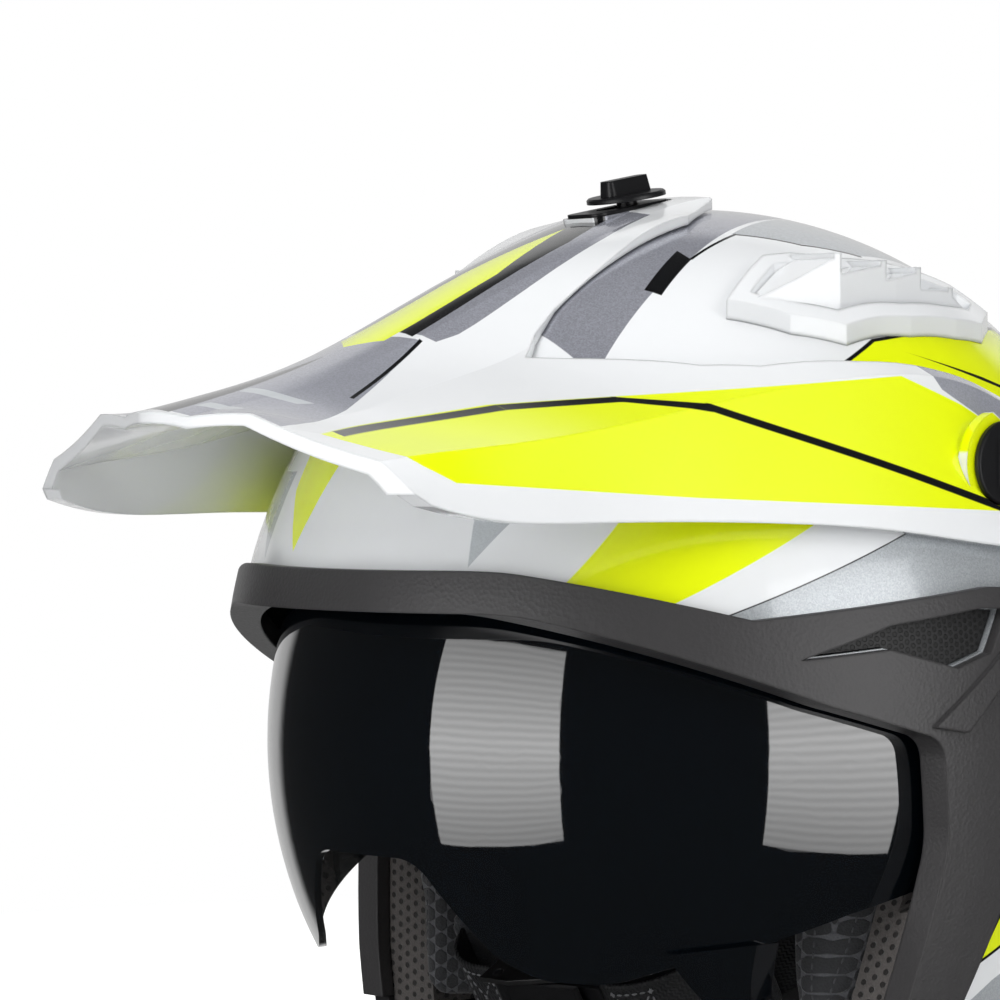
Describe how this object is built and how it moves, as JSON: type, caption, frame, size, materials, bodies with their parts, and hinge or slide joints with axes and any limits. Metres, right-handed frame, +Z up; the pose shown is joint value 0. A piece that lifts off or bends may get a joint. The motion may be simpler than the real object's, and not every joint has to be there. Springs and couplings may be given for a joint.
{
  "type": "dual sport helmet",
  "caption": "Open-face helmet with a drop-down smoked sun visor, an adjustable windowed peak on thumb screws, side and crown vents, padded liner and ratchet chin strap.",
  "frame": {"origin": "centre of the footprint on the ground that the base trim rests on; millimetre model about one shared frame", "axes": "+Z up out of the crown, the face opening and the peak look towards -Y, +X to the rider's left"},
  "size_m": [0.255, 0.3501, 0.2616],
  "materials": {
    "shell_paint": null,
    "edge_rubber": "satin moulded edging",
    "trim_plastic": "fine moulded grain",
    "vent_mesh": "matte mesh",
    "visor_smoke": "dark smoked polycarbonate",
    "pivot_plastic": "moulded nylon",
    "peak_plastic": null,
    "screw_plastic": "satin black nylon",
    "insert_brass": "knurled threaded insert",
    "liner_foam": "black bead foam",
    "liner_cloth": "brushed knit with mesh panels",
    "snap_plastic": "moulded snaps",
    "anchor_steel": "blackened steel",
    "strap_webbing": "woven nylon webbing",
    "buckle_steel": "stamped steel tray",
    "buckle_plastic": "moulded nylon",
    "vent_plastic": "gloss white lacquer on a moulded scoop"
  },
  "bodies": {
    "helmet": {"outer_shell": "shell_paint", "base_edge_trim": "edge_rubber", "face_trim": "trim_plastic", "left_side_vent_plate": "vent_mesh", "right_side_vent_plate": "vent_mesh", "left_visor_pivot": "pivot_plastic", "right_visor_pivot": "pivot_plastic", "peak_screw_inserts": "insert_brass", "impact_liner": "liner_foam", "crown_comfort_liner": "liner_cloth", "cheek_pad_snaps": "snap_plastic", "left_cheek_foam": "liner_foam", "right_cheek_foam": "liner_foam", "left_cheek_pad": "liner_cloth", "right_cheek_pad": "liner_cloth", "neck_roll": "liner_cloth", "left_strap_anchor": "anchor_steel", "right_strap_anchor": "anchor_steel", "strap_rivets": "anchor_steel", "left_chin_strap": "strap_webbing", "right_chin_strap": "strap_webbing", "left_strap_cover": "liner_cloth", "right_strap_cover": "liner_cloth", "buckle_tray": "buckle_steel", "toothed_tongue": "buckle_plastic", "left_crown_vent": "vent_plastic", "right_crown_vent": "vent_plastic", "rear_exhaust_vent": "vent_plastic"},
    "sun_visor": {"sun_visor": "visor_smoke"},
    "peak": {"peak": "peak_plastic", "centre_slot_plate": "screw_plastic"},
    "centre_thumb_screw": {"centre_thumb_screw": "screw_plastic"},
    "left_thumb_screw": {"left_thumb_screw": "screw_plastic"},
    "right_thumb_screw": {"right_thumb_screw": "screw_plastic"},
    "buckle_lever": {"buckle_lever": "buckle_plastic"}
  },
  "joints": [
    {"name": "visor_swing", "type": "hinge", "parent": "helmet", "child": "sun_visor", "pos_m": [0, 0.022, 0.099], "axis": [-1, 0, 0], "range_deg": [0, 50]},
    {"name": "peak_tilt", "type": "hinge", "parent": "helmet", "child": "peak", "pos_m": [0, 0.029, 0.1785], "axis": [-1, 0, 0], "range_deg": [0, 3]},
    {"name": "centre_screw_turn", "type": "hinge", "parent": "helmet", "child": "centre_thumb_screw", "pos_m": [0, 0, 0.24932], "axis": [0, -0.1892, 0.9819], "continuous": true},
    {"name": "left_screw_turn", "type": "hinge", "parent": "helmet", "child": "left_thumb_screw", "pos_m": [0.10785, 0.029, 0.1785], "axis": [1, 0, 0], "continuous": true},
    {"name": "right_screw_turn", "type": "hinge", "parent": "helmet", "child": "right_thumb_screw", "pos_m": [-0.10785, 0.029, 0.1785], "axis": [-1, 0, 0], "continuous": true},
    {"name": "buckle_lever_lift", "type": "hinge", "parent": "helmet", "child": "buckle_lever", "pos_m": [-0.0132, -0.0325, 0.022], "axis": [0, 0.5, -0.866], "range_deg": [0, 25], "stiffness_Nm_per_rad": 0.05, "springref_deg": -28.65}
  ]
}
